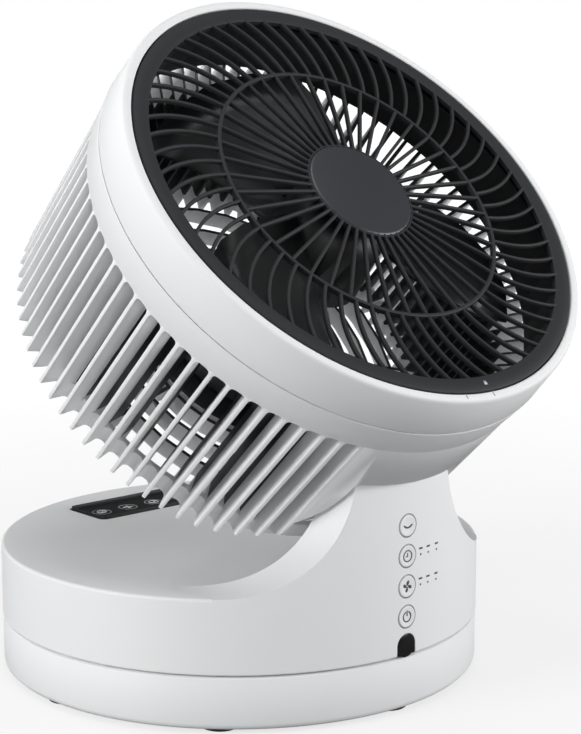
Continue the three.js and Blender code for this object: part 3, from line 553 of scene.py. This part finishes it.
# ---------------------------------------------------------------------------
# The finned drum: a smooth white ABS band, seventy-one thin radial fins that
# run back from it, and a tail ring that ties their ends; open slots between.
# ---------------------------------------------------------------------------
band = turned("drum_band", [
    (126.35, -23.8), (126.6, -24.1), (124.95, -40.1), (124.7, -40.4), (122.3, -40.4), (124.0, -23.8),
], steps=240)
tail = turned("tail_ring", [
    (112, -121.5), (112, -131.6), (111.6, -132), (109.5, -132), (109.5, -121.5)], steps=240)
blank = block((101, -1, -132), (124.95, 1, -40.2))
pick(blank)
bpy.ops.object.mode_set(mode="EDIT")
for point, normal in (((124.9, 0, -40.4), (91.6, 0, -2.6)), ((122.3, 0, -40.4), (-19.6, 0, 21.3))):
    bpy.ops.mesh.select_all(action="SELECT")
    bpy.ops.mesh.bisect(
        plane_co=Vector(point) * MM, plane_no=Vector(normal).normalized(), use_fill=True, clear_outer=True)
bpy.ops.object.mode_set(mode="OBJECT")
rounded(blank, 0.35, 2)
for side in (-1, 1):
    low, high = sorted((0, side * 3))
    corner = block((122.4, low, -42.4), (124.8, high, -40.3))
    combine(corner, rod(2, (120, side * 3, -42.4), (127, side * 3, -42.4), 32), "DIFFERENCE")
    combine(blank, corner, "UNION")
    low, high = sorted((0, side * 4.2))
    corner = block((111.5, low, -131.5), (115.2, high, -121.6))
    combine(corner, rod(3.2, (115.2, side * 4.2, -140), (115.2, side * 4.2, -110), 32), "DIFFERENCE")
    combine(blank, corner, "UNION")
pick(blank)
bpy.ops.object.mode_set(mode="EDIT")
for point, normal in (((112, 0, 0), (1, 0, 0)), ((0, 0, -121), (0, 0, 1))):
    bpy.ops.mesh.select_all(action="SELECT")
    bpy.ops.mesh.bisect(plane_co=Vector(point) * MM, plane_no=normal)
bpy.ops.object.mode_set(mode="OBJECT")
FIN_PITCH = 360 / 80
FIRST_FIN, LAST_FIN = 5, 75
fins = []
for number in range(FIRST_FIN, LAST_FIN + 1):
    pick(blank)
    bpy.ops.object.duplicate()
    fin = bpy.context.object
    fins.append(settle(fin, (0, 0, 0), (0, 0, math.radians(number * FIN_PITCH - 90))))
bpy.data.objects.remove(blank)
fins = join_up("drum_fins", fins)


def underside():
    """What the drum's underside keeps clear of, where it rounds up into the tail."""
    tool = block((-140, -160, -150), (140, -84.4, -97))
    return combine(tool, rod(35, (-150, -84.4, -97), (150, -84.4, -97), 128), "DIFFERENCE")


combine(fins, underside(), "DIFFERENCE")
on_head(smooth(fins, 30))
on_head(smooth(tail))
on_head(smooth(band))

# ---------------------------------------------------------------------------
# The chin: the drum closed and smooth over the pillar, with a pocket whose
# walls follow the pillar's flanks, and the hinge knuckles in it.
# ---------------------------------------------------------------------------
def solid_copy(name, node):
    """A copy of a CAD solid with its loose corners merged, ready for more work."""
    pick(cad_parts[node])
    bpy.ops.object.duplicate()
    piece = bpy.context.object
    piece.name = name
    for key in list(piece.keys()):
        del piece[key]
    piece.parent = None
    bpy.ops.object.mode_set(mode="EDIT")
    bpy.ops.mesh.select_all(action="SELECT")
    bpy.ops.mesh.remove_doubles(threshold=2e-6)
    bpy.ops.object.mode_set(mode="OBJECT")
    return piece


chin = solid_copy("drum_chin", "rear_housing")
pick(chin)
bpy.ops.object.mode_set(mode="EDIT")
slant = math.radians(22.5 + 0.2)
for side in (-1, 1):
    across = Vector((side * math.cos(slant), math.sin(slant), 0))
    across.rotate(Euler(HEAD_TURN))
    bpy.ops.mesh.select_all(action="SELECT")
    bpy.ops.mesh.bisect(plane_co=HEAD_PLACE, plane_no=across, use_fill=True, clear_outer=True)
bpy.ops.object.mode_set(mode="OBJECT")
smooth(chin, 30)
drum = join_up("finned_drum", [fins, band, tail, chin])
dress(drum, "head", white_abs, ["rear_housing"])


def shaded_drum_inside(spot, normal):
    """The fins' inner edges and the chin's inner wall, painted black as painted shade where the drum's inside
    lies in shadow.
    """
    outward = Vector((spot.x, spot.y, 0)).normalized()
    root = outward.length > 0 and math.hypot(spot.x, spot.y) < 112 and abs(spot.x) > -0.42 * spot.y
    return -121 < spot.z < -41 and (root or normal.dot(outward) < -0.3)


# painted shade: the drum's inner faces take the black finish so the inside reads dark
paint_shade_black(drum, shaded_drum_inside)

# ---------------------------------------------------------------------------
# Behind the rotor: three guard rings on ten spokes and the motor's round back
# cover in white ABS, the cast motor can, and the black air duct in front.
# ---------------------------------------------------------------------------
motor_can = plated("cast_aluminium_can", "b4b6b9", 0.42, 2.0, 2.0)
for node, name, finish, slot in (
        ("rear_grille", "guard_rings", white_abs, "white_plastic"),
        ("motor_cover", "motor_back_cover", white_abs, "white_plastic"),
        ("air_duct", "duct_sleeve", black_plastic, "black_plastic"),
        ("fan_motor", "motor_body", motor_can, "motor_can")):
    piece = smooth(solid_copy(name, node), 32)
    dress(piece, "head", finish, [node])
    # painted shade: the front faces of the white guard rings and back cover go black, so the view through the
    # rotor stays dark
    if finish is white_abs:
        paint_shade_black(piece, lambda spot, normal: normal.z > 0.7)

# ---------------------------------------------------------------------------
# The rotor: three broad swept blades on a cupped hub, moulded in one piece in
# black ABS, held on the steel shaft by a small spinner nut.
# ---------------------------------------------------------------------------
blades = solid_copy("rotor_blades", "impeller")
smooth(blades, 40)
dress(blades, "rotor", black_plastic, ["impeller"])
nut = smooth(solid_copy("spinner_cap", "spinner_nut"), 40)
dress(nut, "rotor", black_plastic, ["spinner_nut"])

# ---------------------------------------------------------------------------
# The front grille, one moulding in dark grey ABS: a flat frame, sixty ribs
# that sweep out from a middle ring, and forty-five straight ribs to the hub.
# ---------------------------------------------------------------------------
grey_abs = moulded("dark_grey_moulded_abs", "27292c", "242628", 0.62, 0.8, 0.015, ior=1.4)


def rib(path, width, front_depth, back_depth):
    """A rib along a path of points in the face's plane, with a rounded section."""
    deselect()
    bpy.ops.curve.primitive_nurbs_path_add(location=(0, 0, 0))
    line = bpy.context.object
    line.data.splines.clear()
    spline = line.data.splines.new("POLY")
    spline.points.add(len(path) - 1)
    for point, (x, y) in zip(spline.points, path):
        point.co = (x * MM, y * MM, -(front_depth + back_depth) / 2 * MM, 1)
    line.data.dimensions = "3D"
    line.data.twist_mode = "Z_UP"
    line.data.bevel_depth = width / 2 * MM
    line.data.extrude = ((back_depth - front_depth) / 2 - width / 2) * MM
    line.data.bevel_resolution = 2
    line.data.use_fill_caps = True
    pick(line)
    bpy.ops.object.convert(target="MESH")
    return bpy.context.object


def repeated(piece, count, first):
    """Copies of a rib all round the face, joined."""
    copies = []
    for number in range(count):
        pick(piece)
        bpy.ops.object.duplicate()
        turn = (0, 0, math.radians(first + number * 360 / count))
        copies.append(settle(bpy.context.object, (0, 0, 0), turn))
    bpy.data.objects.remove(piece)
    return join_up("ribs", copies)


swept = []
for step in range(13):
    radius = 75.2 + (113.0 - 75.2) * step / 12
    out = radius / 125 - 0.605
    angle = math.radians(10.67 * out + 58.6 * out * out)
    swept.append((radius * math.cos(angle), radius * math.sin(angle)))
RIB_SECTION = (1.7, 0.6, 3.4)
OUTER_RIBS, OUTER_PHASE = 60, 1.0
INNER_RIBS, INNER_PHASE = 45, 0.75
outer_ribs = repeated(rib(swept, *RIB_SECTION), OUTER_RIBS, OUTER_PHASE)
inner_ribs = repeated(rib([(27.0, 0), (50.0, 0), (75.4, 0)], *RIB_SECTION), INNER_RIBS, INNER_PHASE)
frame_ring = turned("grille_frame", [
    (111.6, -1.2), (112.4, -0.7), (119.2, -0.5), (119.7, -0.8), (119.9, -1.3), (119.9, -6.9), (117.5, -6.9),
    (117.5, -3.4), (111.6, -3.4),
], steps=240)
middle_ring = turned("grille_middle_ring", [
    (74.7, -0.9), (75.1, -0.6), (76.1, -0.6), (76.5, -0.9), (76.5, -3.4), (74.7, -3.4)], steps=192)
seat_ring = turned("grille_hub_seat", [
    (28.1, -0.9), (28.9, -0.9), (29.0, -3.4), (2.0, -3.4), (2.0, -2.3), (28.1, -2.3)], steps=96)
grille = join_up("front_grille_moulding", [outer_ribs, inner_ribs, frame_ring, middle_ring, seat_ring])
on_head(smooth(grille, 40))
dress(grille, "grille", grey_abs, ["front_grille"])

# ---------------------------------------------------------------------------
# A small plain lock mark on the frame, over the tick where the grille locks:
# pad-printed in pale grey, a body with a bow.
# ---------------------------------------------------------------------------
body = block((-0.9, -0.7, -0.52), (0.9, 0.7, -0.44))
deselect()
bpy.ops.mesh.primitive_torus_add(
    major_segments=24, minor_segments=6, major_radius=0.6 * MM, minor_radius=0.15 * MM,
    location=(0, 0.8 * MM, -0.55 * MM))
bow = bpy.context.object
lock = join_up("lock_mark", [body, bow])
settle(lock, Vector((1.5, -116.0, 0)) * MM)
on_head(lock)
dress(lock, "grille", pale_print)

# ---------------------------------------------------------------------------
# The plain round plate that covers the grille's hub: the same dark grey ABS,
# slightly smoother, pressed into its seat with a thin shadow gap.
# ---------------------------------------------------------------------------
hub_abs = moulded("hub_plate_abs", "323438", "2e3033", 0.4, 0.8, 0.01)
plate = turned("hub_cover_plate", [
    (0.6, -0.4), (26.6, -0.4), (27.4, -0.6), (27.8, -1.0), (27.8, -1.9), (0.6, -1.9)], steps=96, closed=False)
on_head(smooth(plate))
dress(plate, "grille", hub_abs, ["hub_plate"])

# ---------------------------------------------------------------------------
# The studio: a pale floor that runs to white for the eye, and five broad
# soft lamps: left, overhead, right, low in front and weakly behind.
# ---------------------------------------------------------------------------
deselect()
bpy.ops.mesh.primitive_plane_add(size=80, location=(0, 0, 0))
floor = bpy.context.object
floor.name = "studio_floor"
floor_paper = bpy.data.materials.new("white_paper_floor")
floor_paper.use_nodes = True
tree = floor_paper.node_tree
tree.nodes.clear()
matt = add_node(tree, "ShaderNodeBsdfDiffuse", {"Color": linear("868686")})
eye = add_node(tree, "ShaderNodeLightPath")
spot = add_node(tree, "ShaderNodeTexCoord")
away = add_node(tree, "ShaderNodeVectorMath", {"operation": "LENGTH"}, [(0, spot, "Object")])
reach = {"From Min": 0.3, "From Max": 1.6, "To Min": 0.72, "To Max": 1.05}
lift = add_node(tree, "ShaderNodeMapRange", reach, [("Value", away, "Value")])
shown = add_node(tree, "ShaderNodeMath", {"operation": "MULTIPLY"},
                 [(0, lift, "Result"), (1, eye, "Is Camera Ray")])
glow = add_node(tree, "ShaderNodeEmission", {"Color": (1, 1, 1, 1)}, [("Strength", shown, "Value")])
both = add_node(tree, "ShaderNodeAddShader", {}, [(0, matt, "BSDF"), (1, glow, "Emission")])
add_node(tree, "ShaderNodeOutputMaterial", {}, [("Surface", both, "Shader")])
floor.data.materials.append(floor_paper)

world = bpy.data.worlds.new("soft_white_room")
bpy.context.scene.world = world
world.use_nodes = True
tree = world.node_tree
tree.nodes.clear()
path_kind = add_node(tree, "ShaderNodeLightPath")
seen = add_node(tree, "ShaderNodeMath", {"operation": "MAXIMUM"})
tree.links.new(path_kind.outputs["Is Camera Ray"], seen.inputs[0])
tree.links.new(path_kind.outputs["Is Transmission Ray"], seen.inputs[1])
strength = add_node(tree, "ShaderNodeMapRange", {"To Min": 0.13, "To Max": 1.0}, [("Value", seen, "Value")])
room = add_node(tree, "ShaderNodeBackground", {"Color": (1, 1, 1, 1)}, [("Strength", strength, "Result")])
add_node(tree, "ShaderNodeOutputWorld", {}, [("Surface", room, "Background")])

for name, place, size, power in (
        ("key_panel", (-1.6, 0.15, 0.6), 0.9, 21.0),
        ("top_panel", (0.0, -0.2, 1.8), 1.0, 10.0),
        ("side_panel", (1.2, -1.3, 0.4), 1.0, 27.0),
        ("front_panel", (-1.1, -1.6, 0.3), 1.0, 7.0),
        ("back_panel", (-0.5, 1.8, 1.2), 1.0, 7.0)):
    deselect()
    bpy.ops.object.light_add(type="AREA", location=place)
    lamp = bpy.context.object
    lamp.name = name
    lamp.data.size = size
    lamp.data.energy = power
    lamp.rotation_euler = (Vector((0, 0, 0.17)) - Vector(place)).to_track_quat("-Z", "Y").to_euler()

deselect()
bpy.ops.object.camera_add(location=(-0.6144, -0.70522, 0.3150))
camera = bpy.context.object
camera.rotation_euler = Vector((0.6552, 0.7371, -0.1658)).to_track_quat("-Z", "Y").to_euler()
camera.data.lens = 90.93
camera.data.clip_start = 0.05
bpy.context.scene.camera = camera
bpy.context.scene.view_settings.view_transform = "Standard"
